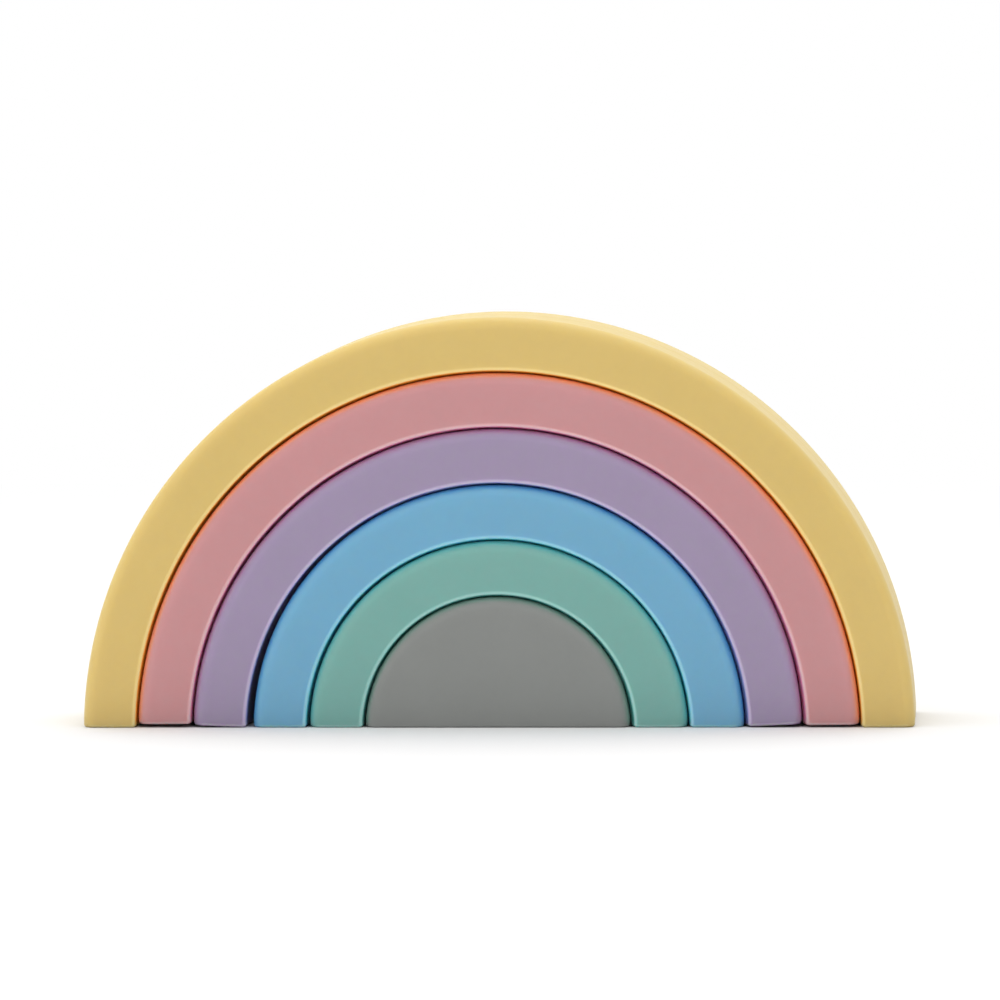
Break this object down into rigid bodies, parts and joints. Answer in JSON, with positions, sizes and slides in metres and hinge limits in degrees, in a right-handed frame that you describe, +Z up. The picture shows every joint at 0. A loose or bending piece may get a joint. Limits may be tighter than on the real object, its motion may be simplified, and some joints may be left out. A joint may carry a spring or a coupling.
{
  "type": "rainbow stacker",
  "caption": "Half-round nesting toy: soft arches of falling size sit one inside another over a solid half-round core, and each lifts off in turn.",
  "frame": {"origin": "middle of the base, on the surface that the toy stands on", "axes": "+X along the width, to the right as seen from the front; +Y from the front face to the back face; +Z up"},
  "size_m": [0.176, 0.04, 0.0865],
  "materials": {
    "yellow_silicone": "matte",
    "pink_silicone": "matte",
    "lilac_silicone": "matte",
    "blue_silicone": "matte",
    "mint_silicone": "matte",
    "grey_silicone": "matte"
  },
  "bodies": {
    "core": {"grey_core": "grey_silicone"},
    "mint": {"mint_arch": "mint_silicone"},
    "blue": {"blue_arch": "blue_silicone"},
    "lilac": {"lilac_arch": "lilac_silicone"},
    "pink": {"pink_arch": "pink_silicone"},
    "yellow": {"yellow_arch": "yellow_silicone"}
  },
  "joints": [
    {"name": "mint_lift", "type": "slide", "parent": "core", "child": "mint", "axis": [0, 0, 1], "range_m": [0, 0.03]},
    {"name": "blue_lift", "type": "slide", "parent": "mint", "child": "blue", "axis": [0, 0, 1], "range_m": [0, 0.042]},
    {"name": "lilac_lift", "type": "slide", "parent": "blue", "child": "lilac", "axis": [0, 0, 1], "range_m": [0, 0.054]},
    {"name": "pink_lift", "type": "slide", "parent": "lilac", "child": "pink", "axis": [0, 0, 1], "range_m": [0, 0.066]},
    {"name": "yellow_lift", "type": "slide", "parent": "pink", "child": "yellow", "axis": [0, 0, 1], "range_m": [0, 0.078]}
  ]
}
